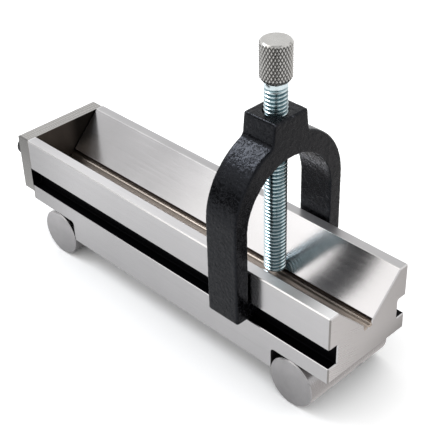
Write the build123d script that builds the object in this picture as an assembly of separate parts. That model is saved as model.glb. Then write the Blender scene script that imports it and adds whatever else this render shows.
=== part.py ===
from build123d import *
import os
from math import radians, tan

# Sine vise: a vee block on two sine rolls, closed by an end plate, with a clamp yoke that
# slides along side slots and carries a knurled clamp screw.
# Millimetres, +Z up. The origin is midway between the rolls, on the plane that they stand on.
# +X points to the block's open end, the end plate closes the other end, and Y runs across.

# Sine rolls, whose centre distance is the working length of the vise
roll_spacing = 127.0
roll_diameter = 19.05
roll_length = 40.6
roll_end_chamfer = 0.4
roll_seat_gap = 0.02

# Vee block, which runs past each roll's centre to its end
end_beyond_roll = 15.875
block_width = 39.69
block_height = 36.5
block_edge_chamfer = 0.4
notch_depth = 9.05
notch_corner_radius = 1.6

# Vee, and the relief groove along its bottom
vee_angle = 90.0
land_width = 4.2
relief_width = 4.0
relief_depth = 15.2
relief_corner_radius = 0.8

# Side slots that guide the clamp yoke
slot_height = 7.94
slot_depth = 4.1
slot_above_underside = 15.4
slot_corner_radius = 0.6
slot_mouth_chamfer = 0.25

# End plate
plate_thickness = 6.35
plate_height = 23.8
plate_set_back = 0.79
plate_below_lands = 0.1
plate_edge_chamfer = 0.4

# Socket head cap screws that hold the end plate
plate_screw_diameter = 4.83
plate_screw_head_diameter = 7.92
plate_screw_head_height = 4.83
plate_screw_length = 15.9
plate_screw_hex = 3.97
plate_screw_from_side = 5.845
plate_screw_below_top = 8.4

# Socket head cap screws that draw each roll into the corner of its notch
roll_screw_diameter = 4.17
roll_screw_head_diameter = 6.86
roll_screw_head_height = 4.17
roll_screw_length = 25.4
roll_screw_hex = 3.57
roll_screw_across = 5.5
counterbore_depth = 4.5
counterbore_gap = 0.2

# All fastener holes
fastener_gap = 0.05
hole_run_out = 1.5
socket_share_of_head = 0.55
head_chamfer = 0.4

# Clamp yoke
yoke_position = 37.5
yoke_thickness = 14.0
yoke_side_gap = 0.66
leg_thickness = 5.7
arch_springing_height = 15.0
crown_thickness = 8.4
boss_height = 6.8
boss_top_width = 15.4
boss_draft = 6.5
boss_blend_radius = 2.5
yoke_edge_radius = 0.7
foot_corner_radius = 1.2
lip_lift_gap = 0.24
lip_end_gap = 0.45
lip_height = 6.4

# Clamp screw, 18 threads to the inch
screw_diameter = 7.94
screw_running_gap = 0.03
screw_tip_chamfer = 0.8
screw_tip_gap = 0.25
screw_shoulder_chamfer = 0.7
screw_shoulder_taper = 2.6
screw_spigot_diameter = 5.0
screw_spigot_length = 9.5
bore_countersink = 0.7

# Knurled knob
knob_clearance_over_boss = 10.3
knob_diameter = 10.9
knob_length = 14.0
knob_top_chamfer = 0.7
knob_bottom_chamfer = 1.5
knob_spigot_gap = 0.03
knob_bore_run_out = 0.5

# How near counts as on a face when edges and corners are picked
pick_margin = 0.01

# Levels and planes that the pieces share
roll_radius = roll_diameter / 2
roll_x = roll_spacing / 2
notch_ceiling = roll_diameter + roll_seat_gap
notch_wall = roll_x - roll_radius - roll_seat_gap
underside = roll_diameter - notch_depth
lands = underside + block_height
end_x = roll_x + end_beyond_roll
side_y = block_width / 2
slot_floor = underside + slot_above_underside
slot_roof = slot_floor + slot_height
slot_back = side_y - slot_depth
vee_half_opening = side_y - land_width
vee_half_angle = radians(vee_angle / 2)
vee_apex = lands - vee_half_opening / tan(vee_half_angle)
plate_top = lands - plate_below_lands
plate_width = block_width - plate_set_back
plate_screw_z = plate_top - plate_screw_below_top
leg_inside = side_y + yoke_side_gap
leg_outside = leg_inside + leg_thickness
inner_arch_z = lands + arch_springing_height
inner_crown = inner_arch_z + leg_inside
outer_crown = inner_crown + crown_thickness
outer_arch_z = outer_crown - leg_outside
boss_top = outer_crown + boss_height
lip_top = slot_roof - lip_lift_gap
foot = lip_top - lip_height
lip_tip = slot_back + lip_end_gap
screw_radius = screw_diameter / 2
screw_tip_radius = screw_radius - screw_tip_chamfer
screw_tip = vee_apex + screw_tip_radius / tan(vee_half_angle) + screw_tip_gap
screw_shoulder = boss_top + knob_clearance_over_boss
countersink_radius = screw_radius + screw_running_gap + bore_countersink


def drilled(axis_plane, radius, depth):
    """A drill that goes down from the plane's origin, against its normal."""
    drill = Cylinder(radius, depth, align=(Align.CENTER, Align.CENTER, Align.MAX))
    return axis_plane * drill


def turned(profile_points):
    """A round piece about the Z axis from its half profile of (radius, height) points."""
    outline = make_face(Polyline(*[(r, 0, z) for r, z in profile_points], close=True))
    return revolve(outline, Axis.Z, 360)


def cap_screw(diameter, head_diameter, head_height, length, hex_flats):
    """A socket head cap screw along Z, with its head on top and its seat on the XY plane."""
    radius = diameter / 2
    head_radius = head_diameter / 2
    screw = turned(
        [
            (0, -length),
            (radius, -length),
            (radius, 0),
            (head_radius, 0),
            (head_radius, head_height - head_chamfer),
            (head_radius - head_chamfer, head_height),
            (0, head_height),
        ]
    )
    socket_depth = head_height * socket_share_of_head
    hexagon = RegularPolygon(hex_flats / 2, 6, major_radius=False)
    socket = extrude(Pos(0, 0, head_height) * hexagon, -socket_depth)
    return screw - socket


def roll_screw_plane(side, distance):
    """The plane square to a roll's screw, at a distance from the roll's axis towards the head."""
    outward = Vector(side, 0, -1).normalized()
    centre = Vector(side * roll_x, roll_screw_across, roll_radius)
    return Plane(origin=centre + outward * distance, x_dir=(0, 1, 0), z_dir=outward)


def plate_screw_plane(across, x):
    """The plane square to an end plate screw, facing away from the block."""
    return Plane(origin=(x, across, plate_screw_z), x_dir=(0, 1, 0), z_dir=(-1, 0, 0))


head_seat_distance = roll_radius - counterbore_depth
roll_screw_reach = roll_screw_length - head_seat_distance
plate_outside = -end_x - plate_thickness
plate_screw_places = (plate_screw_from_side - side_y, side_y - plate_screw_from_side)


def block_section():
    """The block's cross-section: lands, vee, relief groove and the two side slots."""
    section = Pos(0, underside + block_height / 2) * Rectangle(block_width, block_height)
    section = chamfer(section.vertices(), block_edge_chamfer)
    vee = make_face(
        Polyline(
            (-vee_half_opening, lands),
            (0, vee_apex),
            (vee_half_opening, lands),
            close=True,
        )
    )
    relief = Pos(0, lands - relief_depth / 2) * Rectangle(relief_width, relief_depth)
    relief = fillet(relief.vertices().group_by(Axis.Y)[0], relief_corner_radius)
    section = section - vee - relief
    for side in (-1, 1):
        slot_place = Pos(side * (slot_back + slot_depth), slot_floor + slot_height / 2)
        slot = slot_place * Rectangle(2 * slot_depth, slot_height)
        backs = slot.vertices().sort_by(lambda v: abs(v.X))[:2]
        section = section - fillet(backs, slot_corner_radius)
    mouths = section.vertices().filter_by(
        lambda v: abs(v.X) > side_y - pick_margin and slot_floor - pick_margin < v.Y < slot_roof + pick_margin
    )
    return chamfer(mouths, slot_mouth_chamfer)


def roll_notch(side):
    """The square step under one end of the block, where a roll seats against both faces."""
    notch_length = end_x - notch_wall + block_edge_chamfer
    notch = Pos(side * (notch_wall + notch_length / 2), notch_ceiling - roll_diameter / 2)
    step = notch * Rectangle(notch_length, roll_diameter)
    corner = step.vertices().group_by(Axis.Y)[-1].sort_by(lambda v: abs(v.X))[0]
    step = fillet(corner, notch_corner_radius)
    return extrude(Plane.XZ * step, side_y + block_edge_chamfer, both=True)


def vee_block():
    block = extrude(Plane.YZ * block_section(), end_x, both=True)
    for side in (-1, 1):
        block = block - roll_notch(side)
        depth = roll_screw_reach + hole_run_out
        tapped = drilled(roll_screw_plane(side, 0), roll_screw_diameter / 2 + fastener_gap, depth)
        block = block - tapped
    block = chamfer(block.faces().sort_by(Axis.X)[-1].edges(), block_edge_chamfer)
    for across in plate_screw_places:
        depth = plate_screw_length - plate_thickness + hole_run_out
        plane = plate_screw_plane(across, -end_x)
        block = block - drilled(plane, plate_screw_diameter / 2 + fastener_gap, depth)
    return block


def end_plate():
    """The plate across the closed end, flush with the block's near side and set back at the far side."""
    centre = Pos(
        -end_x - plate_thickness / 2,
        -side_y + plate_width / 2,
        plate_top - plate_height / 2,
    )
    plate = centre * Box(plate_thickness, plate_width, plate_height)
    plate = chamfer(plate.faces().sort_by(Axis.X)[0].edges(), plate_edge_chamfer)
    for across in plate_screw_places:
        plane = plate_screw_plane(across, plate_outside)
        hole = drilled(plane, plate_screw_diameter / 2 + fastener_gap, plate_thickness)
        plate = plate - hole
    return plate


def end_plate_screw(across):
    screw = cap_screw(
        plate_screw_diameter,
        plate_screw_head_diameter,
        plate_screw_head_height,
        plate_screw_length,
        plate_screw_hex,
    )
    return plate_screw_plane(across, plate_outside) * screw


def sine_roll(side):
    """A ground roll across the block, counterbored at 45 degrees for its screw."""
    roll = Cylinder(roll_radius, roll_length, rotation=(90, 0, 0))
    roll = chamfer(roll.edges().filter_by(GeomType.CIRCLE), roll_end_chamfer)
    roll = Pos(side * roll_x, 0, roll_radius) * roll
    mouth = roll_screw_plane(side, roll_radius)
    hole = drilled(mouth, roll_screw_diameter / 2 + fastener_gap, roll_diameter)
    head_room = roll_screw_head_diameter / 2 + counterbore_gap
    return roll - hole - drilled(mouth, head_room, counterbore_depth)


def roll_screw(side):
    screw = cap_screw(
        roll_screw_diameter,
        roll_screw_head_diameter,
        roll_screw_head_height,
        roll_screw_length,
        roll_screw_hex,
    )
    return roll_screw_plane(side, head_seat_distance) * screw


def yoke_outline():
    """The yoke seen along the block: two legs, an arch and a drafted boss over the crown."""
    leg_height = outer_arch_z - foot
    legs = Pos(0, foot + leg_height / 2) * Rectangle(2 * leg_outside, leg_height)
    legs = fillet(legs.vertices().group_by(Axis.Y)[0], foot_corner_radius)
    arch = Pos(0, outer_arch_z) * Circle(leg_outside)
    flare = (boss_top - outer_arch_z) * tan(radians(boss_draft))
    half_top = boss_top_width / 2
    boss = make_face(
        Polyline(
            (-half_top, boss_top),
            (-half_top - flare, outer_arch_z),
            (half_top + flare, outer_arch_z),
            (half_top, boss_top),
            close=True,
        )
    )
    outline = legs + arch + boss
    roots = outline.vertices().filter_by(lambda v: outer_arch_z < v.Y < boss_top - boss_height / 4)
    outline = fillet(roots, boss_blend_radius)
    arch_space_height = inner_arch_z - lip_top
    arch_space = Pos(0, lip_top + arch_space_height / 2) * Rectangle(2 * leg_inside, arch_space_height)
    between_lips = Pos(0, foot + lip_height / 2) * Rectangle(2 * lip_tip, lip_height)
    return outline - arch_space - between_lips - Pos(0, inner_arch_z) * Circle(leg_inside)


def clamp_yoke():
    yoke = extrude(Plane.YZ * yoke_outline(), yoke_thickness / 2, both=True)
    outer_edges = yoke.edges().filter_by(
        lambda e: abs(abs(e.center().X) - yoke_thickness / 2) < pick_margin
        and (abs(e.center().Y) > leg_inside + leg_thickness / 2 or e.center().Z > inner_crown + pick_margin)
    )
    top_edges = yoke.faces().sort_by(Axis.Z)[-1].edges()
    yoke = fillet(outer_edges + top_edges.filter_by(Axis.X), yoke_edge_radius)
    bore_radius = screw_radius + screw_running_gap
    top_plane = Plane((0, 0, boss_top))
    yoke = yoke - drilled(top_plane, bore_radius, boss_top - inner_arch_z)
    countersink = Cone(
        bore_radius, countersink_radius, bore_countersink, align=(Align.CENTER, Align.CENTER, Align.MAX)
    )
    yoke = yoke - top_plane * countersink
    return Pos(yoke_position, 0, 0) * yoke


def clamp_screw():
    """The clamp screw, with a chamfered tip and a turned spigot that carries the knob."""
    screw = turned(
        [
            (0, screw_tip),
            (screw_tip_radius, screw_tip),
            (screw_radius, screw_tip + screw_tip_chamfer),
            (screw_radius, screw_shoulder - screw_shoulder_taper),
            (screw_radius - screw_shoulder_chamfer, screw_shoulder),
            (screw_spigot_diameter / 2, screw_shoulder),
            (screw_spigot_diameter / 2, screw_shoulder + screw_spigot_length),
            (0, screw_shoulder + screw_spigot_length),
        ]
    )
    return Pos(yoke_position, 0, 0) * screw


def clamp_knob():
    """The round knob, bored blind from below for the screw's spigot."""
    radius = knob_diameter / 2
    bore_radius = screw_spigot_diameter / 2 + knob_spigot_gap
    bore_end = screw_shoulder + screw_spigot_length + knob_bore_run_out
    top = screw_shoulder + knob_length
    knob = turned(
        [
            (0, bore_end),
            (bore_radius, bore_end),
            (bore_radius, screw_shoulder),
            (radius - knob_bottom_chamfer, screw_shoulder),
            (radius, screw_shoulder + knob_bottom_chamfer),
            (radius, top - knob_top_chamfer),
            (radius - knob_top_chamfer, top),
            (0, top),
        ]
    )
    return Pos(yoke_position, 0, 0) * knob


pieces = {
    "vee_block": vee_block(),
    "end_plate": end_plate(),
    "end_plate_screw_near": end_plate_screw(plate_screw_places[0]),
    "end_plate_screw_far": end_plate_screw(plate_screw_places[1]),
    "left_roll": sine_roll(-1),
    "right_roll": sine_roll(1),
    "left_roll_screw": roll_screw(-1),
    "right_roll_screw": roll_screw(1),
    "clamp_yoke": clamp_yoke(),
    "clamp_screw": clamp_screw(),
    "clamp_knob": clamp_knob(),
}

os.makedirs("parts", exist_ok=True)
for name, piece in pieces.items():
    export_step(piece, f"parts/{name}.step")
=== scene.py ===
import math
from contextlib import contextmanager

import bmesh
import bpy
from bpy.props import FloatProperty, FloatVectorProperty, IntProperty, PointerProperty
from mathutils import Matrix, Vector


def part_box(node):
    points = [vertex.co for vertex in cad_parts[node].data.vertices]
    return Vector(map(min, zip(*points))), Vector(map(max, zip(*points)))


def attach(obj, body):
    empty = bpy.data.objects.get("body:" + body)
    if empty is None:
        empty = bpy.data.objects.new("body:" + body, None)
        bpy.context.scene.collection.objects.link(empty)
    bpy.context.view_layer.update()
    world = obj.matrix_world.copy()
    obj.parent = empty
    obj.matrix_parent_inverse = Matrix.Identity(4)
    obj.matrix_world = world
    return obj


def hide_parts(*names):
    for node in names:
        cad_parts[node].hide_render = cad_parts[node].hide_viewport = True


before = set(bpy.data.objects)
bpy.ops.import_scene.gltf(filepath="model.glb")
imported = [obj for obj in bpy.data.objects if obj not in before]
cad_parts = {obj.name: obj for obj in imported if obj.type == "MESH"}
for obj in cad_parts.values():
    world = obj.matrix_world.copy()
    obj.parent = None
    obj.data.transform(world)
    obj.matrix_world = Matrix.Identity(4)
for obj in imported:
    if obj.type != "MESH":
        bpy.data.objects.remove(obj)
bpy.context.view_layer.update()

bl_info = {
    "name": "Sine Vise",
    "version": (1, 0, 0),
    "blender": (4, 5, 0),
    "location": "3D View > Sidebar > Sine Vise",
    "description": "Finishes a sine vise: ground steel, cast yoke, threads, knurl and studio",
    "category": "Object",
}

MM = 0.001
INCH = 25.4  # in millimetres
HAIR = MM / 100  # places nearer to each other than this count as one
SINE_45 = math.sqrt(0.5)
FLANK_ANGLE = math.radians(30)  # lean of a thread's flanks from square across the rod


# Places that the frame gives

BLOCK_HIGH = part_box("vee_block")[1]
PLATE_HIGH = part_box("end_plate")[1]
ROLL_LOW, ROLL_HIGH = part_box("right_roll")
SCREW_LOW, SCREW_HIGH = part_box("clamp_screw")
KNOB_LOW, KNOB_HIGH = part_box("clamp_knob")
ROLL_CENTRE = (ROLL_LOW + ROLL_HIGH) / 2
SCREW_AXIS = (SCREW_LOW + SCREW_HIGH) / 2
SCREW_RADIUS = (SCREW_HIGH.y - SCREW_LOW.y) / 2
KNOB_RADIUS = (KNOB_HIGH.y - KNOB_LOW.y) / 2


# Sizes and colours that a user would change


def length(name, description, millimetres):
    default = millimetres * MM
    return FloatProperty(name=name, description=description, default=default, unit="LENGTH", precision=5)


def angle(name, description, degrees):
    default = math.radians(degrees)
    return FloatProperty(name=name, description=description, default=default, subtype="ANGLE")


def share(name, description, default, high=1.0):
    return FloatProperty(name=name, description=description, default=default, min=0.0, max=high)


def count(name, description, default):
    return IntProperty(name=name, description=description, default=default, min=8)


def colour(name, description, default):
    return FloatVectorProperty(
        name=name, description=description, default=default, subtype="COLOR", size=3, min=0.0, max=1.0
    )


class SteelSettings(bpy.types.PropertyGroup):
    """Ground faces of the block, the end plate and the rolls."""

    block_colour: colour("Block", "Ground steel of the vee block", (0.61, 0.60, 0.605))
    # Painted highlight along the chamfers and the vee's far lip, partly rubbed steel on the chamfers
    edge_colour: colour("Edges", "Painted highlight along the chamfers and the vee's far lip, with rubbed steel on the chamfers", (0.70, 0.69, 0.68))
    corner_colour: colour("Corners", "Duller steel along the block's upright corners", (0.26, 0.245, 0.23))
    plate_colour: colour("End plate", "Ground steel of the end plate", (0.42, 0.41, 0.395))
    plate_inside_colour: colour("Plate inside", "Dark colour of its face that closes the vee", (0.075, 0.062, 0.052))
    roll_colour: colour("Rolls", "Turned ends and ground sides of the rolls", (0.43, 0.42, 0.425))
    # Near black in the side slots; where it is used in the roll steps and counterbores it is painted shade
    slot_and_shade_colour: colour("Slots", "Near black in the side slots; painted shade in the roll steps and counterbores", (0.004, 0.004, 0.005))
    relief_colour: colour("Relief", "Tan floor of the groove along the vee's bottom", (0.84, 0.72, 0.62))
    relief_grey: colour("Relief grey", "Grey of that floor's near half", (0.36, 0.31, 0.27))
    # Painted shade on the groove's walls and just above its far lip
    relief_wall_colour: colour("Relief walls", "Painted shade on that groove's walls and on the vee's far wall just above it", (0.012, 0.008, 0.006))
    roll_screw_place: length("Roll screw place", "Distance of the roll screws from the middle", 5.5)
    roll_counterbore: length("Roll counterbore", "Diameter of the bores for their heads", 7.26)
    slot_floor: length("Slot floor", "Height of the lower face of the side slots", 25.4)
    slot_roof: length("Slot roof", "Height of the upper face of the side slots", 33.34)
    slot_depth: length("Slot depth", "Depth of the side slots", 4.1)
    step_roof: length("Step roof", "Height of the roll steps' ceilings", 19.07)
    step_wall: length("Step wall", "Distance of the roll steps' walls from the middle", 53.955)
    chamfer: length("Chamfer", "Chamfer along the block's edges", 0.4)
    vee_half_width: length("Vee half width", "Distance of the vee's lips from the middle", 15.645)
    relief_width: length("Relief width", "Width of the groove along the vee's bottom", 4.0)
    relief_floor: length("Relief floor", "Height of that groove's floor", 31.3)
    relief_lip: length("Relief lip", "Height where the groove meets the vee", 32.86)
    grain_width: length("Grain width", "Spacing of the grinding marks", 0.38)
    grain_depth: length("Grain depth", "Depth of the grinding marks", 0.0011)
    vee_grain_depth: length("Vee grain depth", "Depth of the marks on the vee's far wall", 0.005)


class ThreadSettings(bpy.types.PropertyGroup):
    """The clamp screw's thread and the cap screws'."""

    pitch: length("Pitch", "Rise of the clamp screw's thread in one turn", INCH / 18)
    crest: share("Crest", "Flat of the crest as a share of the pitch", 1 / 8)
    root: share("Root", "Flat of the root as a share of the pitch", 1 / 6)
    ring_points: count("Ring points", "Points round one section", 32)
    turn_steps: count("Turn steps", "Sections in one turn", 28)
    tip_chamfer: length("Tip chamfer", "Chamfer at the lower end of the clamp screw", 0.8)
    neck_height: length("Neck height", "Height of the plain taper under the knob", 2.6)
    neck_radius: length("Neck radius", "Radius of that taper where it meets the knob", 3.27)
    spigot_radius: length("Spigot radius", "Radius of the spigot inside the knob", 2.5)
    scratch_depth: length("Scratch depth", "Depth of the fine scratches in the zinc", 0.0008)
    zinc_colour: colour("Zinc", "Bright blue zinc plate on the crests", (0.79, 0.895, 0.925))
    root_colour: colour("Roots", "Painted shade in the roots of the thread", (0.23, 0.335, 0.365))


class KnurlSettings(bpy.types.PropertyGroup):
    """The knob's diamond knurl."""

    diamonds: count("Diamonds", "Diamonds in one row round the knob", 28)
    helix: angle("Helix", "Angle of the grooves to the axis", 30)
    groove_depth: length("Groove depth", "Depth of the grooves between the diamonds", 0.42)
    flat: length("Flat", "Width of a diamond's top from its middle", 0.08)
    top_chamfer: length("Top chamfer", "Chamfer round the knob's top", 0.7)
    bottom_taper: length("Bottom taper", "Height of the taper at the knob's foot", 1.5)
    bore_depth: length("Bore depth", "Depth of the blind bore for the screw's spigot", 10.0)
    bore_room: length("Bore room", "Room round the spigot in that bore", 0.02)
    ring_depth: length("Ring depth", "Depth of the turned rings on the knob's top", 0.003)
    knob_colour: colour("Knob", "Turned and knurled steel", (0.62, 0.61, 0.59))
    groove_colour: colour("Grooves", "Painted shade in the grooves of the knurl", (0.10, 0.098, 0.094))


class CastingSettings(bpy.types.PropertyGroup):
    """The yoke's cast and enamelled surface."""

    grain: length("Grain", "Finest detail of the yoke's mesh", 0.3)
    lump_size: length("Lump size", "Spacing of the lumps under the enamel", 1.3)
    lump_depth: length("Lump depth", "Depth of the hollows between the lumps", 0.17)
    wrinkle_depth: length("Wrinkle depth", "Depth of the enamel's wrinkles and creases", 0.135)
    enamel_colour: colour("Enamel", "Black enamel", (0.0012, 0.0012, 0.0015))
    # Painted highlight on edges, lumps and wrinkles; on the edges partly enamel that is rubbed down
    thin_and_highlight_colour: colour("Thin enamel and highlight", "Painted highlight on edges, lumps and wrinkles, with less enamel on the edges", (0.07, 0.072, 0.082))
    gleam_colour: colour("Gleam", "Cast of the light that the enamel reflects", (0.80, 0.85, 1.0))


class CapScrewSettings(bpy.types.PropertyGroup):
    """Black socket head cap screws."""

    oxide_colour: colour("Black oxide", "Black oxide finish", (0.008, 0.008, 0.009))
    rubbed_colour: colour("Rubbed oxide", "Black oxide where its edges are rubbed", (0.05, 0.05, 0.052))
    oxide_depth: length("Oxide depth", "Depth of the oxide's fine grain", 0.004)
    plate_head_height: length("Plate head", "Height of the end plate screws' heads", 4.83)
    plate_socket: length("Plate socket", "Width of their sockets across flats", 3.97)
    plate_shank: length("Plate shank", "Diameter of their shanks", 4.83)
    plate_length: length("Plate length", "Length of their shanks", 15.9)
    plate_pitch: length("Plate screw pitch", "Pitch of their threads", INCH / 24)
    roll_head_height: length("Roll head", "Height of the roll screws' heads", 4.17)
    roll_socket: length("Roll socket", "Width of their sockets across flats", 3.57)
    roll_shank: length("Roll shank", "Diameter of their shanks", 4.17)
    roll_length: length("Roll length", "Length of their shanks", 25.4)
    roll_pitch: length("Roll screw pitch", "Pitch of their threads", INCH / 32)
    ring_points: count("Ring points", "Points round one section of a shank", 24)
    turn_steps: count("Turn steps", "Sections in one turn of its thread", 12)
    head_chamfer: length("Head chamfer", "Chamfer round a head's top", 0.35)
    head_grooves: count("Head grooves", "Grooves round a knurled head", 30)
    groove_depth: length("Groove depth", "Depth of the grooves round a knurled head", 0.14)


class StudioSettings(bpy.types.PropertyGroup):
    """Camera, floor and lights."""

    camera_place: FloatVectorProperty(
        name="Camera place", description="Where the camera stands", subtype="XYZ", unit="LENGTH", size=3,
        default=(0.23761, -0.21669, 0.26217), precision=5,
    )
    camera_turn: angle("Camera turn", "Angle of the view round the upright", 46.698)
    camera_tilt: angle("Camera tilt", "Angle of the view below the horizon", 34.878)
    camera_roll: angle("Camera roll", "Angle of the view about its own axis", -1.967)
    lens: FloatProperty(
        name="Lens", description="Focal length on a 36 mm sensor", default=88.62, unit="CAMERA"
    )
    sky: share("Sky", "Strength of the soft light from all round", 0.98, 10.0)
    floor_size: length("Floor", "Width of the floor", 8000)
    floor_colour: colour("Floor colour", "Pale floor as it lights the object", (0.42, 0.42, 0.42))
    floor_seen: share("Floor seen", "Whiteness of the floor to the camera", 1.34, 2.0)
    thrown_light: share("Thrown light", "Share of the light that bright metal throws on the floor", 0.12)


class SineViseSettings(bpy.types.PropertyGroup):
    """All settings of the sine vise."""

    steel: PointerProperty(type=SteelSettings)
    thread: PointerProperty(type=ThreadSettings)
    knurl: PointerProperty(type=KnurlSettings)
    casting: PointerProperty(type=CastingSettings)
    cap_screw: PointerProperty(type=CapScrewSettings)
    studio: PointerProperty(type=StudioSettings)


def settings():
    return bpy.context.scene.sine_vise


# Materials: places in them are in millimetres, and where a noise reads the Object coordinates, its
# scale is in details to the metre

COLOUR_UNDER, COLOUR_OVER, COLOUR_OUT = 6, 7, 2  # a Mix node's sockets for colours


def adds(operation):
    """A Python operator on values that adds this Math node."""
    return lambda value, *others: value.recipe.math(operation, value, *others)


class Value:
    """A socket of a material; arithmetic on it adds the nodes that work it out."""

    def __init__(self, recipe, socket):
        self.recipe = recipe
        self.socket = socket

    def output(self, name):
        """Another output of the same node."""
        return Value(self.recipe, self.socket.node.outputs[name])

    def __rsub__(self, other):
        return self.recipe.math("SUBTRACT", other, self)

    __add__ = __radd__ = adds("ADD")
    __sub__ = adds("SUBTRACT")
    __mul__ = __rmul__ = adds("MULTIPLY")
    __pow__ = adds("POWER")
    __abs__ = adds("ABSOLUTE")
    __gt__ = adds("GREATER_THAN")
    __lt__ = adds("LESS_THAN")
    __or__ = adds("MAXIMUM")
    __and__ = adds("MINIMUM")


class Recipe:
    """The nodes of one material or of the world."""

    def __init__(self, owner):
        owner.use_nodes = True
        self.owner = owner
        self.tree = owner.node_tree
        self.tree.nodes.clear()

    def node(self, kind, values=None, output=0, **fixed):
        """A new node: its fixed choices come first, then its sockets' values or links."""
        made = self.tree.nodes.new(kind)
        for name, value in fixed.items():
            setattr(made, name, value)
        for key, value in (values or {}).items():
            if isinstance(value, Value):
                self.tree.links.new(value.socket, made.inputs[key])
            else:
                made.inputs[key].default_value = value
        return Value(self, made.outputs[output]) if made.outputs else None

    def math(self, operation, *values):
        return self.node("ShaderNodeMath", dict(enumerate(values)), operation=operation)

    def where(self):
        """The Object coordinates, in metres."""
        return self.node("ShaderNodeTexCoord", output="Object")

    def place(self):
        """The Object coordinates, and their three parts in millimetres."""
        where = self.where()
        parts = self.node("ShaderNodeSeparateXYZ", {0: where})
        return where, *(parts.output(axis) * (1 / MM) for axis in "XYZ")

    def vector(self, x=0.0, y=0.0, z=0.0):
        return self.node("ShaderNodeCombineXYZ", {0: x, 1: y, 2: z})

    def noise(self, where, scale, detail=2.0, roughness=0.5, distortion=0.0):
        values = {"Vector": where, "Scale": scale, "Detail": detail, "Roughness": roughness}
        return self.node("ShaderNodeTexNoise", {**values, "Distortion": distortion})

    def spread(self, value, low, high, to_low, to_high):
        """The value from low to high brought smoothly to the new range and held outside it."""
        values = {"Value": value, "From Min": low, "From Max": high, "To Min": to_low, "To Max": to_high}
        return self.node("ShaderNodeMapRange", values, interpolation_type="SMOOTHSTEP")

    def after(self, value, start, end):
        """0 up to start, 1 from end on, and a smooth rise between them."""
        return self.spread(value, start, end, 0.0, 1.0)

    def before(self, value, start, end):
        """1 up to start, 0 from end on, and a smooth fall between them."""
        return self.spread(value, start, end, 1.0, 0.0)

    def within(self, value, low, high, edge=0.02):
        """1 between two places and 0 outside them, with an edge this wide."""
        return self.after(value, low - edge, low + edge) & self.before(value, high - edge, high + edge)

    def on_face(self, distance):
        """1 on the face that this distance is measured from, and 0 just off it."""
        return self.before(distance, 0.02, 0.06)

    def sharpness(self):
        """0.5 on flat places and more than that on edges and lumps."""
        return self.node("ShaderNodeNewGeometry", output="Pointiness")

    def blend(self, factor, under, over, **fixed):
        """One colour laid over another by a mask."""
        values = {0: factor, COLOUR_UNDER: self.colour(under), COLOUR_OVER: self.colour(over)}
        return self.node("ShaderNodeMix", values, output=COLOUR_OUT, data_type="RGBA", **fixed)

    def tone(self, base, strength):
        """A colour made lighter or darker by a number."""
        grey = self.node("ShaderNodeCombineColor", {0: strength, 1: strength, 2: strength})
        return self.blend(1.0, base, grey, blend_type="MULTIPLY")

    def colour(self, value):
        return value if isinstance(value, Value) else (*value, 1.0)[:4]

    def show(self, kind, values, output="ShaderNodeOutputMaterial"):
        """Ends with this shader, and gives back the material or the world."""
        self.node(output, {"Surface": self.node(kind, values)})
        return self.owner

    def surface(self, base, roughness, height, depth, **others):
        """Ends with a surface bumped to this depth; others are more of its sockets."""
        bump = self.node("ShaderNodeBump", {"Height": height, "Strength": 1.0, "Distance": depth})
        values = {"Base Color": base, "Roughness": roughness, "Normal": bump, **others}
        return self.show("ShaderNodeBsdfPrincipled", values)


def new_recipe(name):
    return Recipe(bpy.data.materials.new(name))


def varied(level, *swings):
    """A level that noises swing up and down, each by its share."""
    for noise, swing in swings:
        level = level + (noise - 0.5) * swing
    return level


def summed(start, on, shares):
    """A number and every named mask times its share, added up."""
    for place, part in shares.items():
        start = start + on[place] * part
    return start


def distance(across, along):
    """Distance from a line, by the distances from it in two square directions."""
    return (across * across + along * along) ** 0.5


def grinding_marks(recipe, across, along, third, width):
    """Fine marks that run along one direction: noise that is stretched far in it."""
    stretch, broader = 0.012, 0.22
    marks = recipe.vector(along * stretch, across, third)
    fine = recipe.noise(marks, MM / width, roughness=0.6)
    broad = recipe.noise(marks, MM / width * broader)
    return fine * 0.7 + broad * 0.3


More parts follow.
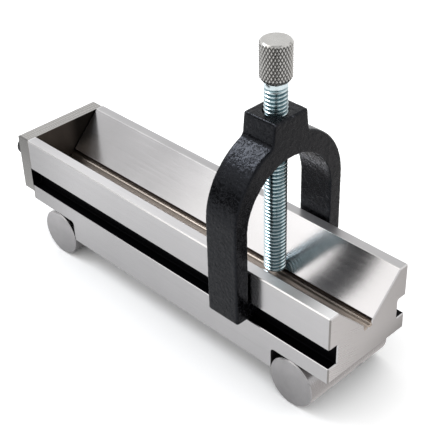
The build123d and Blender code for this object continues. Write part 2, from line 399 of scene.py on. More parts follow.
def block_masks(recipe, steel, x, y, z):
    """1 on the named faces, edges and hollows of the block, and 0 off them."""
    slack = 0.03  # how far a mask reaches past what it covers
    side, end, top = BLOCK_HIGH.y / MM, BLOCK_HIGH.x / MM, BLOCK_HIGH.z / MM
    from_side, from_end, from_top = side - abs(y), end - abs(x), top - z
    vee_half = steel.vee_half_width / MM
    vee = recipe.before(abs(abs(y) + (top - vee_half) - z), 0.04, 0.08)
    far_half = recipe.after(y, 0.0, 0.1)

    def on_chamfer(off_edge):
        chamfer = steel.chamfer / MM
        return recipe.before(off_edge, chamfer + slack, chamfer + 3 * slack)

    slot_back = side - steel.slot_depth / MM
    slots = (
        recipe.within(abs(y), slot_back - 2 * slack, side - 0.22)
        & recipe.within(z, steel.slot_floor / MM - slack, steel.slot_roof / MM + slack)
        & recipe.after(from_end, 0.1, 0.3)
    )
    # The roll steps, which get painted shade
    step_wall, step_roof = steel.step_wall / MM, steel.step_roof / MM
    steps = (
        recipe.after(abs(x), step_wall - slack, step_wall + slack)
        & recipe.before(z, step_roof - slack, step_roof + slack)
        & recipe.after(from_side, 0.2, 0.3)
    )
    plate_joint = vee & recipe.before(x, -end + 0.45, -end + 0.6)

    relief_side, relief_lip = steel.relief_width / 2 / MM, steel.relief_lip / MM
    relief = (
        recipe.before(abs(y), relief_side - 0.01, relief_side + slack)
        & recipe.within(z, steel.relief_floor / MM - 0.5, relief_lip - 0.01)
    )
    # Painted shadow on the vee's far wall just above the groove
    painted_lip_shadow = vee & far_half & recipe.before(z, relief_lip + 0.35, relief_lip + 0.5)
    return {
        "side": recipe.on_face(from_side),
        "end": recipe.on_face(from_end),
        "top": recipe.on_face(from_top),
        "vee": vee,
        "far_vee": vee & far_half & recipe.after(from_top, 0.3, 0.9),
        "near_vee": vee & recipe.before(y, -0.1, 0.0),
        "edge": on_chamfer((from_side & from_end) + from_top),
        "corner": on_chamfer(from_side + from_end),
        # The vee's far lip, where a highlight is painted
        "far_lip": recipe.before(abs(y - vee_half) + from_top, 0.25, 0.45),
        "dark": slots | steps | plate_joint,
        "relief": relief | painted_lip_shadow,
    }


def painted_light_zones(recipe, on, x, y, z):
    """Parts of the block's faces that are painted lighter or darker than the rest of them: painted light and
    shade.
    """
    right = recipe.after(x, 45.0, 62.0)
    left = recipe.before(x, -BLOCK_HIGH.x / MM, -45.0)
    near_top = on["top"] * recipe.before(y, -1.0, 1.0)
    low_end = on["end"] * recipe.before(z, 15.0, 30.0)
    return {
        "right_top": on["top"] * right,
        "near_top": near_top,
        "near_right_top": near_top * right,
        "near_left_top": near_top * left,
        "end_slope": on["end"] * y,
        "low_end": low_end,
        "low_end_slope": low_end * y,
        "left_side": on["side"] * left,
        "middle_side": on["side"] * recipe.before(x, -30.0, 40.0),
    }


def relief_colours(recipe, steel, x, y, z):
    """Floor of the groove along the vee, tan far and grey near, and its walls, with painted light and shade.
    """
    streaks = recipe.noise(recipe.vector(x * 0.01, y * 1.6, z * 1.6), scale=1.0, detail=3.0, roughness=0.7)
    # Painted light towards the groove's open end
    painted_end_light = 1.0 + recipe.after(x, 64.0, BLOCK_HIGH.x / MM) * 0.8
    # Painted shadow of the yoke on the floor beside it
    painted_yoke_shadow = 1.0 - recipe.within(x, 44.0, 65.0, edge=5.0) * 0.65
    # Painted shade: the floor darker towards the end plate
    tan_tone = varied(1.0, (streaks, 0.4)) * recipe.spread(x, -45.0, 5.0, 0.2, 0.29) * painted_yoke_shadow * painted_end_light
    grey_tone = varied(1.0, (streaks, 0.8)) * recipe.spread(x, -60.0, 20.0, 0.5, 0.66) * painted_end_light
    tan = recipe.tone(steel.relief_colour, tan_tone)
    grey = recipe.tone(steel.relief_grey, grey_tone)
    floor = recipe.blend(recipe.before(y, 0.0, 1.0), tan, grey)
    # The groove's walls, in painted shade
    wall_foot = steel.relief_floor / MM + 1.0
    on_wall = recipe.after(z, wall_foot - 0.15, wall_foot + 0.15)
    return recipe.blend(on_wall, floor, steel.relief_wall_colour)


# How much lighter each part of the block is painted than its plain steel (painted light and shade, darker
# where below 0), and how much rougher it is (less where below 0); a slope counts for each millimetre towards
# the far side
BLOCK_PAINTED_LIGHT = {
    "top": -0.23, "right_top": 0.14, "near_top": 0.27, "near_right_top": 1.10, "near_left_top": -0.20,
    "end": -0.05, "end_slope": -0.0075, "low_end": -0.18, "low_end_slope": -0.010,
    "side": -0.02, "left_side": -0.27, "middle_side": -0.08,
}
BLOCK_ROUGHER = {
    "top": 0.15, "end": 0.08, "vee": -0.02, "near_vee": -0.08, "corner": 0.35, "relief": 0.20, "dark": 0.40,
}


def block_steel(steel):
    """Ground steel with painted light, shade and edge highlight, near black slots and a tan relief groove.
    """
    recipe = new_recipe("ground_block_steel")
    where, x, y, z = recipe.place()
    on = block_masks(recipe, steel, x, y, z)
    marks = grinding_marks(recipe, y + z * 1.7, x, z, steel.grain_width)
    end_marks = grinding_marks(recipe, z + y * 0.3, y, x, steel.grain_width * 1.3)
    grain = marks + (end_marks - marks) * on["end"]
    clouds = recipe.noise(where, scale=45.0, detail=3.0, roughness=0.55)

    contrast = 0.24 - on["end"] * 0.17 - on["far_vee"] * 0.11
    level = varied(0.95, (grain, contrast), (clouds, 0.12))
    # Painted light and shade: faces and parts of them made lighter or darker by where they are
    lighter = summed(1.0, {**on, **painted_light_zones(recipe, on, x, y, z)}, BLOCK_PAINTED_LIGHT)
    base = recipe.tone(steel.block_colour, level * lighter)
    # Painted highlight on the chamfers and the vee's far lip, partly rubbed steel on the chamfers
    rubbed = (on["edge"] | on["far_lip"]) * recipe.spread(clouds, 0.25, 0.6, 0.35, 0.75)
    base = recipe.blend(rubbed, base, steel.edge_colour)
    base = recipe.blend(on["corner"] * 0.8, base, steel.corner_colour)
    base = recipe.blend(on["relief"], base, relief_colours(recipe, steel, x, y, z))
    # Near black slots, painted shade in the roll steps, and the dark joint at the end plate
    base = recipe.blend(on["dark"], base, steel.slot_and_shade_colour)

    uneven = 0.10 + on["far_vee"] * 0.08 - on["end"] * 0.06
    roughness = summed(varied(0.20, (grain, uneven), (clouds, 0.05)), on, BLOCK_ROUGHER)
    deeper = on["far_vee"] * (steel.vee_grain_depth / steel.grain_depth - 1.0)
    height = (grain - 0.5) * (1.0 + deeper - on["end"] * 0.6)
    return recipe.surface(base, roughness, height, steel.grain_depth, Metallic=1.0)


def plate_steel(steel):
    """Ground steel of the end plate with painted shade, and a dark face where it closes the vee."""
    recipe = new_recipe("ground_plate_steel")
    where, x, y, z = recipe.place()
    on_top = recipe.on_face(PLATE_HIGH.z / MM - z)
    on_side = recipe.on_face(PLATE_HIGH.y / MM - abs(y))
    inside = recipe.on_face(PLATE_HIGH.x / MM - x)
    grain = grinding_marks(recipe, z + x * 1.6, y, x, steel.grain_width)
    clouds = recipe.noise(where, scale=60.0, detail=3.0, roughness=0.6)
    # Painted shade: the top a little darker and the sides darker higher up
    darker = on_top * 0.04 + on_side * (0.05 + z * 0.0112)
    level = varied(0.95, (grain, 0.22), (clouds, 0.18))
    ground = recipe.tone(steel.plate_colour, level * (1.0 - darker))

    slot_top = steel.slot_roof / MM
    behind_slot = (
        recipe.within(abs(y), steel.vee_half_width / MM, BLOCK_HIGH.y / MM)
        & recipe.before(z, slot_top, slot_top + 0.5)
    )
    # Painted shade: the inside face darker towards the far side
    painted_far_shade = recipe.spread(y, -1.0, 6.0, 1.6, 0.3)
    dark_inside = recipe.tone(steel.plate_inside_colour, varied(1.0, (clouds, 0.8)) * painted_far_shade)
    dark_inside = recipe.blend(behind_slot, dark_inside, steel.slot_and_shade_colour)
    base = recipe.blend(inside, ground, dark_inside)
    roughness = varied(0.27, (grain, 0.14)) + inside * 0.2
    return recipe.surface(base, roughness, grain, steel.grain_depth * 1.2, Metallic=1.0)


def roll_steel(steel):
    """Rolls with turned rings on their ends, fine marks round their sides and painted light and shadow."""
    recipe = new_recipe("roll_steel")
    where, x, y, z = recipe.place()
    outwards = abs(x) - ROLL_CENTRE.x / MM
    above = z - ROLL_CENTRE.z / MM
    on_end = recipe.on_face(ROLL_HIGH.y / MM - abs(y))
    rings = recipe.noise(recipe.vector(distance(outwards, above)), scale=3.2, detail=3.0, roughness=0.7)
    hoops = recipe.noise(recipe.vector(y, x * 0.03, z * 0.03), scale=4.0)
    marks = hoops + (rings - hoops) * on_end
    clouds = recipe.noise(where, scale=120.0, detail=4.0, roughness=0.6)
    level = varied(0.90, (marks, 0.08 + on_end * 0.14), (clouds, 0.16 + on_end * 0.26))
    # Painted light: the roll ends lighter higher up
    painted_light_up = on_end * above * 0.014

    # Painted shadow inside the counterbores of the roll screws
    bore = steel.roll_counterbore / 2 / MM
    along_screw = (outwards - above) * SINE_45
    from_screw = distance((outwards + above) * SINE_45, y - steel.roll_screw_place / MM)
    in_bore = recipe.before(from_screw, bore + 0.25, bore + 0.45) & recipe.after(along_screw, 4.5, 5.0)
    base = recipe.blend(in_bore, recipe.tone(steel.roll_colour, level + painted_light_up), steel.slot_and_shade_colour)
    roughness = varied(0.26, (marks, 0.10)) + on_end * 0.06 + in_bore * 0.6
    return recipe.surface(base, roughness, marks, steel.grain_depth * 2.0, Metallic=1.0 - in_bore)


def zinc_plate(thread):
    """Bright zinc with a blue cast: polished on the crests, with painted shade in the roots."""
    recipe = new_recipe("zinc_plated_steel")
    where, x, y, z = recipe.place()
    crest, shoulder = SCREW_RADIUS / MM, KNOB_LOW.z / MM
    radius = distance(x - SCREW_AXIS.x / MM, y)
    below_neck = recipe.before(z, shoulder - thread.neck_height / MM, shoulder)
    # Painted shade in the thread's roots
    groove = recipe.before(radius, crest - 0.46, crest - 0.03) * below_neck
    patches = recipe.noise(where, scale=260.0, detail=3.0, roughness=0.6)
    scratches = recipe.noise(recipe.vector(x * 0.4, y * 0.4, z * 6.0), scale=2.2)
    plate = recipe.blend(groove, thread.zinc_colour, thread.root_colour)
    base = recipe.tone(plate, varied(0.94, (patches, 0.24)))
    roughness = varied(0.21, (patches, 0.06)) + groove * 0.03
    return recipe.surface(base, roughness, scratches, thread.scratch_depth, Metallic=1.0)


def knurled_steel(knurl):
    """Turned steel: bright diamond tops, painted shade in the grooves and on the ringed top."""
    recipe = new_recipe("knurled_steel")
    where, x, y, z = recipe.place()
    outer, depth, chamfer = KNOB_RADIUS / MM, knurl.groove_depth / MM, knurl.top_chamfer / MM
    radius = distance(x - SCREW_AXIS.x / MM, y)
    from_top = KNOB_HIGH.z / MM - z
    on_top = recipe.on_face(from_top)
    # Painted shade in the knurl's grooves
    in_groove = (
        recipe.before(radius, outer - depth, outer - depth * 0.36)
        & recipe.after(from_top, chamfer - 0.1, chamfer + 0.1)
    )
    rings = recipe.noise(recipe.vector(radius), scale=3.0, detail=3.0, roughness=0.7)
    patches = recipe.noise(where, scale=300.0, detail=3.0, roughness=0.6)
    # The top painted a little darker: painted shade
    level = varied(0.96, (rings, on_top * 0.20), (patches, 0.24)) - on_top * 0.08
    base = recipe.tone(recipe.blend(in_groove, knurl.knob_colour, knurl.groove_colour), level)
    roughness = varied(0.22, (patches, 0.08)) + on_top * 0.04 + in_groove * 0.2
    height = rings * on_top * 3.0 + patches * (1.0 - on_top)
    return recipe.surface(base, roughness, height, knurl.ring_depth, Metallic=1.0)


def black_enamel(casting):
    """Glossy black enamel: fine skin, wrinkles, creases, and painted highlight on edges, lumps and wrinkles.
    """
    recipe = new_recipe("black_enamelled_iron")
    where = recipe.where()
    skin = recipe.noise(where, scale=1300.0, detail=3.0, roughness=0.6, distortion=0.6)
    wrinkles = recipe.noise(where, scale=700.0, distortion=1.8)
    folds = recipe.noise(where, scale=290.0, roughness=0.6, distortion=2.0)
    creases = recipe.before(abs(folds - 0.5), 0.004, 0.022)
    # Painted highlight on edges, lumps and wrinkles; on the edges partly enamel that is rubbed down
    thin_and_highlight = recipe.after(recipe.sharpness(), 0.52, 0.58) | recipe.spread(wrinkles, 0.56, 0.78, 0.0, 0.06)
    mottled = recipe.spread(skin, 0.35, 0.65, 0.4, 1.6)
    base = recipe.tone(recipe.blend(thin_and_highlight, casting.enamel_colour, casting.thin_and_highlight_colour), mottled)
    roughness = 0.15 + skin * 0.08 + creases * 0.30
    height = wrinkles * 0.75 + skin * 0.25 - creases * 0.45
    gloss = {"IOR": 1.29, "Specular Tint": (*casting.gleam_colour, 1.0)}
    return recipe.surface(base, roughness, height, casting.wrinkle_depth, **gloss)


def black_oxide(cap):
    """Black oxide on the cap screws, rubbed a little on its high places."""
    recipe = new_recipe("black_oxide_steel")
    patches = recipe.noise(recipe.where(), scale=400.0, detail=3.0, roughness=0.6)
    rubbed = recipe.spread(recipe.sharpness(), 0.52, 0.60, 0.0, 0.7)
    oxide = recipe.blend(rubbed, cap.oxide_colour, cap.rubbed_colour)
    base = recipe.tone(oxide, varied(1.0, (patches, 0.6)))
    return recipe.surface(base, varied(0.5, (patches, 0.16)), patches, cap.oxide_depth, IOR=1.45)


# Modelling


def rest():
    """Object mode with nothing selected."""
    if bpy.context.object and bpy.context.object.mode != "OBJECT":
        bpy.ops.object.mode_set(mode="OBJECT")
    bpy.ops.object.select_all(action="DESELECT")


def take(piece):
    """Selects one piece alone."""
    rest()
    piece.select_set(True)
    bpy.context.view_layer.objects.active = piece


@contextmanager
def editing(piece, kind="FACE"):
    """Edit mode on one piece, with nothing selected in it."""
    take(piece)
    bpy.ops.object.mode_set(mode="EDIT")
    bpy.ops.mesh.select_mode(type=kind)
    bpy.ops.mesh.select_all(action="DESELECT")
    yield
    bpy.ops.object.mode_set(mode="OBJECT")


def choose(piece, parts, wanted):
    """Selects the edges or faces of a piece in edit mode that pass a test."""
    mesh = bmesh.from_edit_mesh(piece.data)
    for part in getattr(mesh, parts):
        part.select_set(wanted(part))
    mesh.select_flush_mode()
    bmesh.update_edit_mesh(piece.data)


def finish_modifiers(piece):
    """Applies all modifiers of a piece, in order."""
    take(piece)
    for modifier in list(piece.modifiers):
        bpy.ops.object.modifier_apply(modifier=modifier.name)


def settle(piece):
    """Moves a piece's place, turn and scale into its mesh."""
    take(piece)
    bpy.ops.object.transform_apply(location=True, rotation=True, scale=True)


def keep_new(name):
    """Names and settles the primitive that was just added."""
    piece = bpy.context.object
    piece.name = name
    settle(piece)
    return piece


def cylinder(name, points, radius, height, middle=0.0):
    """A closed cylinder round the upright axis."""
    rest()
    bpy.ops.mesh.primitive_cylinder_add(
        vertices=points, radius=radius, depth=height, location=(0, 0, middle)
    )
    return keep_new(name)


def copy_of(source, name):
    """A new piece with a copy of another one's mesh."""
    piece = bpy.data.objects.new(name, source.data.copy())
    bpy.context.scene.collection.objects.link(piece)
    return piece


def cut(piece, tool, operation="DIFFERENCE"):
    """Cuts, joins or trims a piece with another solid, which is used up."""
    modifier = piece.modifiers.new(operation.lower(), "BOOLEAN")
    modifier.operation = operation
    modifier.object = tool
    modifier.solver = "MANIFOLD"
    finish_modifiers(piece)
    bpy.data.objects.remove(tool)


def bevel_top(piece, top, width, segments):
    """Bevels the edges round a piece's top."""
    with editing(piece, "EDGE"):
        choose(piece, "edges", lambda edge: all(vertex.co.z > top - HAIR for vertex in edge.verts))
        bpy.ops.mesh.bevel(offset=width, segments=segments)


def shade(piece, degrees):
    """Smooth shading, except across edges sharper than this angle."""
    take(piece)
    bpy.ops.object.shade_smooth_by_angle(angle=math.radians(degrees))


def dress(piece, material):
    """Gives a piece its one material."""
    if not piece.material_slots:
        piece.data.materials.append(material)
    for slot in piece.material_slots:
        slot.material = material


def seat(piece, material, slot, body, *nodes):
    """Finishes a new piece: its material, the nodes it stands for and the body it moves with."""
    dress(piece, material)
    settle(piece)
    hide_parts(*nodes)
    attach(piece, body)


def reach(vertex):
    """Distance of a vertex from the upright axis."""
    return math.hypot(vertex.co.x, vertex.co.y)


def turn(vertex):
    """Where a vertex stands round the upright axis, in turns."""
    return math.atan2(vertex.co.y, vertex.co.x) / math.tau


def draw_in(vertex, part):
    """Brings a vertex to this part of its distance from the upright axis."""
    vertex.co.x *= part
    vertex.co.y *= part


def ramp(value, start, end):
    """0 before start, 1 after end, and straight between them."""
    return min(max((value - start) / (end - start), 0.0), 1.0)


def thread_depth(turned, crest, root):
    """Depth of a thread's form at this share of a turn: 0 on the crest, 1 on the root."""
    return ramp(abs((turned + 0.5) % 1 - 0.5), crest / 2, (1 - root) / 2)


def threaded_rod(name, radius, low, high, pitch, points, steps):
    """A closed rod with a right-hand thread: a ring with one turn of the form, wound upwards."""
    thread = settings().thread
    flank = (1 - thread.crest - thread.root) / 2 * pitch
    depth = flank / math.tan(FLANK_ANGLE)
    rest()
    bpy.ops.mesh.primitive_circle_add(vertices=points, radius=radius, location=(0, 0, low))
    rod = keep_new(name)
    for vertex in rod.data.vertices:
        draw_in(vertex, 1 - depth / radius * thread_depth(turn(vertex), thread.crest, thread.root))
    turns = (high - low) / pitch
    wind = rod.modifiers.new("thread", "SCREW")
    wind.axis = "Z"
    wind.angle = math.tau * turns
    wind.screw_offset = high - low
    wind.steps = wind.render_steps = math.ceil(turns * steps)
    wind.use_merge_vertices = False
    finish_modifiers(rod)
    with editing(rod):
        bpy.ops.mesh.select_all(action="SELECT")
        bpy.ops.mesh.fill_holes(sides=0)
        bpy.ops.mesh.normals_make_consistent(inside=False)
    return rod, depth


def shape_rod(rod, radius, limit, keep):
    """Turns a rod down to a radius limit at each height, and fades its grooves where keep is below 1."""
    for vertex in rod.data.vertices:
        across = reach(vertex)
        if across > 10 * HAIR:
            groove = radius - across
            wanted = min(radius - groove * keep(vertex.co.z), limit(vertex.co.z))
            draw_in(vertex, wanted / across)


def cap_screw(name, radius, head_height, socket, shank_radius, shank_length, pitch):
    """A knurled socket head under the origin, facing up, with its threaded shank below it."""
    cap = settings().cap_screw
    screw = cylinder(name, 2 * cap.head_grooves, radius, head_height, -head_height / 2)
    bevel_top(screw, 0.0, cap.head_chamfer, segments=2)
    for vertex in screw.data.vertices:
        across = reach(vertex)
        in_groove = round(turn(vertex) * 2 * cap.head_grooves) % 2
        if across > radius - HAIR and in_groove:
            draw_in(vertex, 1 - cap.groove_depth / across)
    cut(screw, cylinder(name + "_socket", 6, socket / math.sqrt(3), head_height))

    overlap = MM / 5
    low = -head_height - shank_length
    shank, depth = threaded_rod(
        name + "_shank", shank_radius, low, overlap - head_height, pitch, cap.ring_points, cap.turn_steps
    )

    def limit(z):
        return shank_radius - depth + (z - low)

    def keep(z):
        return 1 - ramp(z, -head_height - 2 * pitch, -head_height - pitch)

    shape_rod(shank, shank_radius, limit, keep)
    cut(screw, shank, "UNION")
    return screw


def rise(edge):
    """How far an edge climbs."""
    return abs(edge.verts[0].co.z - edge.verts[1].co.z)


def run(edge):
    """How far an edge goes sideways."""
    way = edge.verts[0].co - edge.verts[1].co
    return math.hypot(way.x, way.y)


def is_wall(face):
    """Whether a face stands upright or nearly so."""
    return abs(face.normal.z) < 0.5


def knurled_cylinder(name, knob_height, middle):
    """A cylinder of raised diamonds: squares are poked, joined in pairs across their sides and inset."""
    knurl = settings().knurl
    base = KNOB_RADIUS - knurl.groove_depth
    width = math.tau * KNOB_RADIUS / knurl.diamonds
    height = width / math.tan(knurl.helix)
    rows = math.ceil(knob_height / height)
    knob = cylinder(name, knurl.diamonds, base, rows * height, middle)

    def upright(edge):
        return rise(edge) > height / 2 and run(edge) <= HAIR

    def level(edge):
        from_middle = abs((edge.verts[0].co.z + edge.verts[1].co.z) / 2 - middle)
        return rise(edge) < HAIR and from_middle < (rows / 2 - 1 / 4) * height

    with editing(knob, "EDGE"):
        choose(knob, "edges", upright)
        bpy.ops.mesh.subdivide(number_cuts=rows - 1)
    with editing(knob):
        choose(knob, "faces", is_wall)
        bpy.ops.mesh.poke(offset=base * (1 - math.cos(math.pi / knurl.diamonds)))
    with editing(knob, "EDGE"):
        choose(knob, "edges", lambda edge: upright(edge) or level(edge))
        bpy.ops.mesh.dissolve_edges(use_verts=False)
    half_diamond = width * height / 2 / math.hypot(width, height)
    inside = 0.98  # keeps the diamonds' corners within the knob's size
    with editing(knob):
        choose(knob, "faces", is_wall)
        bpy.ops.mesh.inset(
            thickness=half_diamond - knurl.flat, depth=knurl.groove_depth * inside,
            use_individual=True, use_even_offset=True,
        )
    return knob


# Pieces


class SINE_VISE_OT_block(bpy.types.Operator):
    """Finishes the ground steel of the vee block and the end plate"""

    bl_idname = "sine_vise.block"
    bl_label = "Block and plate"

    def execute(self, context):
        steel = settings().steel
        dress(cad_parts["vee_block"], block_steel(steel))
        dress(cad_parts["end_plate"], plate_steel(steel))
        return {"FINISHED"}


class SINE_VISE_OT_rolls(bpy.types.Operator):
    """Finishes the two sine rolls"""

    bl_idname = "sine_vise.rolls"
    bl_label = "Rolls"

    def execute(self, context):
        material = roll_steel(settings().steel)
        for side in ("left", "right"):
            dress(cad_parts[side + "_roll"], material)
        return {"FINISHED"}


class SINE_VISE_OT_clamp_screw(bpy.types.Operator):
    """Models the zinc plated clamp screw with its thread, neck and spigot"""

    bl_idname = "sine_vise.clamp_screw"
    bl_label = "Clamp screw"

    def execute(self, context):
        thread = settings().thread
        radius, shoulder = SCREW_RADIUS, KNOB_LOW.z
        screw, _ = threaded_rod(
            "threaded_clamp_screw", radius, SCREW_LOW.z, shoulder, thread.pitch,
            thread.ring_points, thread.turn_steps,
        )
        neck = shoulder - thread.neck_height
        runout_start, runout_end = neck - thread.pitch * 0.3, neck + thread.pitch * 0.9

        def limit(z):
            tip = radius - thread.tip_chamfer + (z - SCREW_LOW.z)
            rounding = 1 - math.sqrt(1 - ramp(z, neck, shoulder) ** 2)
            taper = radius + (thread.neck_radius - radius) * rounding
            return min(radius, tip, taper)

        def keep(z):
            return 1 - ramp(z, runout_start, runout_end)

        def is_shoulder(face):
            return face.normal.z > 0.9 and face.calc_center_median().z > shoulder - HAIR

        shape_rod(screw, radius, limit, keep)
        with editing(screw):
            choose(screw, "faces", is_shoulder)
            bpy.ops.mesh.inset(thickness=thread.neck_radius - thread.spigot_radius)
            up = (0, 0, SCREW_HIGH.z - shoulder)
            bpy.ops.mesh.extrude_region_move(TRANSFORM_OT_translate={"value": up})
        screw.location = (SCREW_AXIS.x, SCREW_AXIS.y, 0)
        shade(screw, 35)
        seat(screw, zinc_plate(thread), "zinc_plated_steel", "screw", "clamp_screw")
        return {"FINISHED"}


class SINE_VISE_OT_clamp_knob(bpy.types.Operator):
    """Models the clamp knob with its diamond knurl"""

    bl_idname = "sine_vise.clamp_knob"
    bl_label = "Clamp knob"

    def execute(self, context):
        knurl = settings().knurl
        height = KNOB_HIGH.z - KNOB_LOW.z
        middle = (KNOB_LOW.z + KNOB_HIGH.z) / 2
        knob = knurled_cylinder("knurled_clamp_knob", height, middle)

        taper_top = KNOB_LOW.z + knurl.bottom_taper
        slope = 0.8
        for vertex in knob.data.vertices:
            if reach(vertex) > KNOB_RADIUS / 2 and vertex.co.z < taper_top:
                draw_in(vertex, 1 - (taper_top - vertex.co.z) / reach(vertex) * slope)

        spare = MM / 20
        blank = cylinder("knob_blank", 96, KNOB_RADIUS + spare, height, middle)
        bevel_top(blank, KNOB_HIGH.z, knurl.top_chamfer + spare, segments=1)
        cut(knob, blank, "INTERSECT")
        bore_radius = settings().thread.spigot_radius + knurl.bore_room
        cut(knob, cylinder("knob_bore", 48, bore_radius, knurl.bore_depth * 2, KNOB_LOW.z))
        knob.location = (SCREW_AXIS.x, SCREW_AXIS.y, 0)
        shade(knob, 25)
        seat(knob, knurled_steel(knurl), "knurled_steel", "knob", "clamp_knob")
        return {"FINISHED"}


class SINE_VISE_OT_clamp_yoke(bpy.types.Operator):
    """Gives the clamp yoke its cast and enamelled surface"""

    bl_idname = "sine_vise.clamp_yoke"
    bl_label = "Clamp yoke"

    def execute(self, context):
        casting = settings().casting
        yoke = copy_of(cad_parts["clamp_yoke"], "cast_clamp_yoke")
        with editing(yoke):
            bpy.ops.mesh.select_all(action="SELECT")
            bpy.ops.mesh.remove_doubles(threshold=HAIR)
        remesh = yoke.modifiers.new("even mesh", "REMESH")
        remesh.mode = "VOXEL"
        remesh.voxel_size = casting.grain
        soften = yoke.modifiers.new("soft edges", "SMOOTH")
        soften.factor = 0.5
        soften.iterations = 3
        lumps = bpy.data.textures.new("casting lumps", "CLOUDS")
        lumps.noise_scale = casting.lump_size
        lumps.noise_depth = 2
        hollow = yoke.modifiers.new("lumps", "DISPLACE")
        hollow.texture = lumps
        hollow.texture_coords = "LOCAL"
        hollow.strength = casting.lump_depth
        hollow.mid_level = 1.0
        finish_modifiers(yoke)
        bpy.ops.object.shade_smooth()
        seat(yoke, black_enamel(casting), "black_enamelled_iron", "yoke", "clamp_yoke")
        return {"FINISHED"}


class SINE_VISE_OT_cap_screws(bpy.types.Operator):
    """Models the socket head cap screws of the end plate and the rolls"""

    bl_idname = "sine_vise.cap_screws"
    bl_label = "Cap screws"

    def execute(self, context):
        cap = settings().cap_screw
        material = black_oxide(cap)
        plate_screw = cap_screw(
            "end_plate_cap_screw", self.head_radius("end_plate_screw_near"), cap.plate_head_height,
            cap.plate_socket, cap.plate_shank / 2, cap.plate_length, cap.plate_pitch,
        )
        roll_screw = cap_screw(
            "roll_cap_screw", self.head_radius("right_roll_screw"), cap.roll_head_height,
            cap.roll_socket, cap.roll_shank / 2, cap.roll_length, cap.roll_pitch,
        )
        for node in ("end_plate_screw_near", "end_plate_screw_far"):
            low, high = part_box(node)
            middle = (low + high) / 2
            self.fit(plate_screw, node, (low.x, middle.y, middle.z), (-1, 0, 0), material)
        for node, side in (("left_roll_screw", -1), ("right_roll_screw", 1)):
            low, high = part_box(node)
            outer = max(abs(low.x), abs(high.x))
            out = (outer - ROLL_CENTRE.x) - self.head_radius(node) * SINE_45
            place = (side * (ROLL_CENTRE.x + out), (low.y + high.y) / 2, ROLL_CENTRE.z - out)
            self.fit(roll_screw, node, place, (side, 0, -1), material)
        for pattern in (plate_screw, roll_screw):
            bpy.data.objects.remove(pattern)
        return {"FINISHED"}

    def head_radius(self, node):
        low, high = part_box(node)
        return (high.y - low.y) / 2

    def fit(self, pattern, node, place, towards, material):
        """Puts a copy of a screw at its node, with its head towards a direction."""
        screw = copy_of(pattern, node.replace("_screw", "_cap_screw"))
        facing = Vector(towards).to_track_quat("Z", "Y").to_matrix().to_4x4()
        screw.matrix_world = Matrix.Translation(place) @ facing
        shade(screw, 30)
        seat(screw, material, "black_oxide_steel", "block", node)


# Stage

MIDDLE = (0.0, 0.0, 0.05)  # what the lamp and the hanging cards point at
KEY_PLACE, KEY_WIDTH, KEY_HEIGHT = (-0.49, -0.20, 0.62), 0.33, 0.14
KEY_POWER, KEY_TINT = 1.2, (0.90, 0.94, 1.0)
LYING = 0.01  # cards lower than this lie on the floor and face it

# Cards that only reflections see: name, place, width, height and brightness
CARDS = (
    ("bright left", (-0.46, -0.06, 0.66), 0.40, 0.26, (10.0, 10.3, 10.7)),
    ("dark overhead", (0.05, -0.05, 0.9), 0.8, 0.6, (0.06, 0.06, 0.06)),
    ("grey back", (0.05, 0.65, 0.50), 0.5, 0.3, (0.50, 0.50, 0.50)),
    ("bright left front", (-0.22, -0.43, 0.53), 0.46, 0.42, (1.62, 1.60, 1.58)),
    ("grey left", (-0.60, -0.40, 0.45), 0.40, 0.25, (0.72, 0.72, 0.72)),
    ("dark left front", (-0.36, -0.47, 0.11), 0.60, 0.22, (0.08, 0.08, 0.08)),
    ("dark front", (0.235, -0.180, 0.002), 0.20, 0.18, (0.04, 0.04, 0.04)),
    ("dark right front", (0.42, -0.38, 0.42), 0.34, 0.30, (0.04, 0.04, 0.04)),
    ("grey right back", (0.205, 0.12, 0.001), 0.44, 0.28, (0.80, 0.77, 0.75)),
)


def studio_world(studio):
    """White to the camera and in reflections, and a soft even light on the object."""
    world = bpy.data.worlds.new("studio")
    bpy.context.scene.world = world
    recipe = Recipe(world)
    rays = recipe.node("ShaderNodeLightPath", output="Is Camera Ray")
    glossy = rays.output("Is Glossy Ray")
    seen = rays | glossy | rays.output("Is Transmission Ray")
    thrown = glossy & (rays.output("Diffuse Depth") > 0.5)
    strength = (studio.sky + seen * (1.0 - studio.sky)) * (1.0 - thrown * (1.0 - studio.thrown_light))
    values = {"Color": (1.0, 1.0, 1.0, 1.0), "Strength": strength}
    recipe.show("ShaderNodeBackground", values, output="ShaderNodeOutputWorld")


def floor_material(studio):
    """A pale floor that is white to the camera and in reflections, and keeps the shadow."""
    recipe = new_recipe("pale_floor")
    rays = recipe.node("ShaderNodeLightPath", output="Is Camera Ray")
    reflected = rays.output("Is Glossy Ray") & (rays.output("Diffuse Depth") < 0.5)
    seen = rays | reflected | rays.output("Is Transmission Ray")
    white = recipe.tone((1.0, 1.0, 1.0), 1.0 + rays * (studio.floor_seen - 1.0))
    seen_colour = recipe.blend(seen, studio.floor_colour, white)
    return recipe.show("ShaderNodeBsdfDiffuse", {"Color": seen_colour})


def aim(obj, target):
    """Points a lamp or a card at a place."""
    obj.rotation_euler = (Vector(target) - obj.location).to_track_quat("-Z", "Y").to_euler()


def key_lamp():
    """The soft lamp on the left, above the plate."""
    data = bpy.data.lights.new("key", "AREA")
    data.shape = "RECTANGLE"
    data.size, data.size_y = KEY_WIDTH, KEY_HEIGHT
    data.energy = KEY_POWER
    data.color = KEY_TINT
    lamp = bpy.data.objects.new("key", data)
    bpy.context.scene.collection.objects.link(lamp)
    lamp.location = KEY_PLACE
    aim(lamp, MIDDLE)
    lamp.visible_camera = False


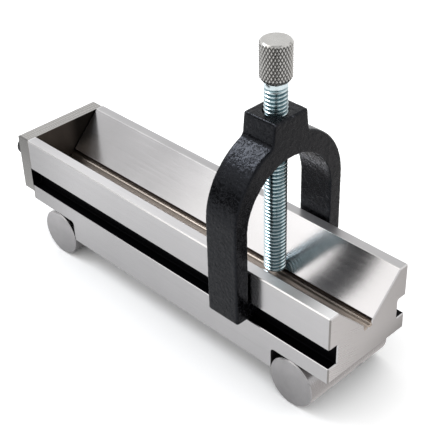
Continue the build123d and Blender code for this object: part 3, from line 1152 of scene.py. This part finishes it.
def card(name, place, width, height, brightness):
    """A grey or bright card that only reflections see, and not those that light the floor."""
    rest()
    bpy.ops.mesh.primitive_plane_add(size=1.0, location=place)
    board = bpy.context.object
    board.name = name
    board.scale = (width, height, 1.0)
    aim(board, (*place[:2], -1.0) if place[2] < LYING else MIDDLE)
    recipe = new_recipe(name)
    seen = recipe.node("ShaderNodeLightPath", output="Diffuse Depth") < 0.5
    dress(board, recipe.show("ShaderNodeEmission", {"Color": (*brightness, 1.0), "Strength": seen}))
    board.visible_camera = board.visible_diffuse = board.visible_shadow = False
    board.visible_transmission = board.visible_volume_scatter = False
    settle(board)


class SINE_VISE_OT_studio(bpy.types.Operator):
    """Sets up the camera, the pale floor and the soft light"""

    bl_idname = "sine_vise.studio"
    bl_label = "Studio"

    def execute(self, context):
        studio = settings().studio
        scene = context.scene
        scene.view_settings.view_transform = "Standard"

        camera = bpy.data.objects.new("camera", bpy.data.cameras.new("camera"))
        scene.collection.objects.link(camera)
        camera.data.sensor_width = 36.0
        camera.data.lens = studio.lens
        heading = Matrix.Rotation(studio.camera_turn, 4, "Z")
        tilt = Matrix.Rotation(math.pi / 2 - studio.camera_tilt, 4, "X")
        roll = Matrix.Rotation(studio.camera_roll, 4, "Z")
        camera.matrix_world = Matrix.Translation(studio.camera_place) @ heading @ tilt @ roll
        scene.camera = camera

        rest()
        bpy.ops.mesh.primitive_plane_add(size=studio.floor_size)
        floor = bpy.context.object
        floor.name = "floor"
        dress(floor, floor_material(studio))
        studio_world(studio)
        key_lamp()
        for details in CARDS:
            card(*details)
        return {"FINISHED"}


# Add-on


class SINE_VISE_PT_panel(bpy.types.Panel):
    """Lists the pieces and their settings"""

    bl_idname = "SINE_VISE_PT_panel"
    bl_label = "Sine Vise"
    bl_space_type = "VIEW_3D"
    bl_region_type = "UI"
    bl_category = "Sine Vise"

    def draw(self, context):
        layout = self.layout
        for operator in OPERATORS:
            layout.operator(operator.bl_idname)
        for name in SineViseSettings.__annotations__:
            box = layout.box()
            box.label(text=name.replace("_", " ").capitalize())
            group = getattr(settings(), name)
            for prop in group.__annotations__:
                box.prop(group, prop)


GROUPS = (
    SteelSettings, ThreadSettings, KnurlSettings, CastingSettings, CapScrewSettings, StudioSettings,
    SineViseSettings,
)
OPERATORS = (
    SINE_VISE_OT_studio,
    SINE_VISE_OT_block,
    SINE_VISE_OT_rolls,
    SINE_VISE_OT_clamp_yoke,
    SINE_VISE_OT_clamp_screw,
    SINE_VISE_OT_clamp_knob,
    SINE_VISE_OT_cap_screws,
)
CLASSES = (*GROUPS, *OPERATORS, SINE_VISE_PT_panel)


def register():
    for kind in CLASSES:
        bpy.utils.register_class(kind)
    bpy.types.Scene.sine_vise = PointerProperty(type=SineViseSettings)


def unregister():
    del bpy.types.Scene.sine_vise
    for kind in reversed(CLASSES):
        bpy.utils.unregister_class(kind)


def main():
    register()
    for operator in OPERATORS:
        category, name = operator.bl_idname.split(".")
        getattr(getattr(bpy.ops, category), name)()


if __name__ == "__main__":
    main()
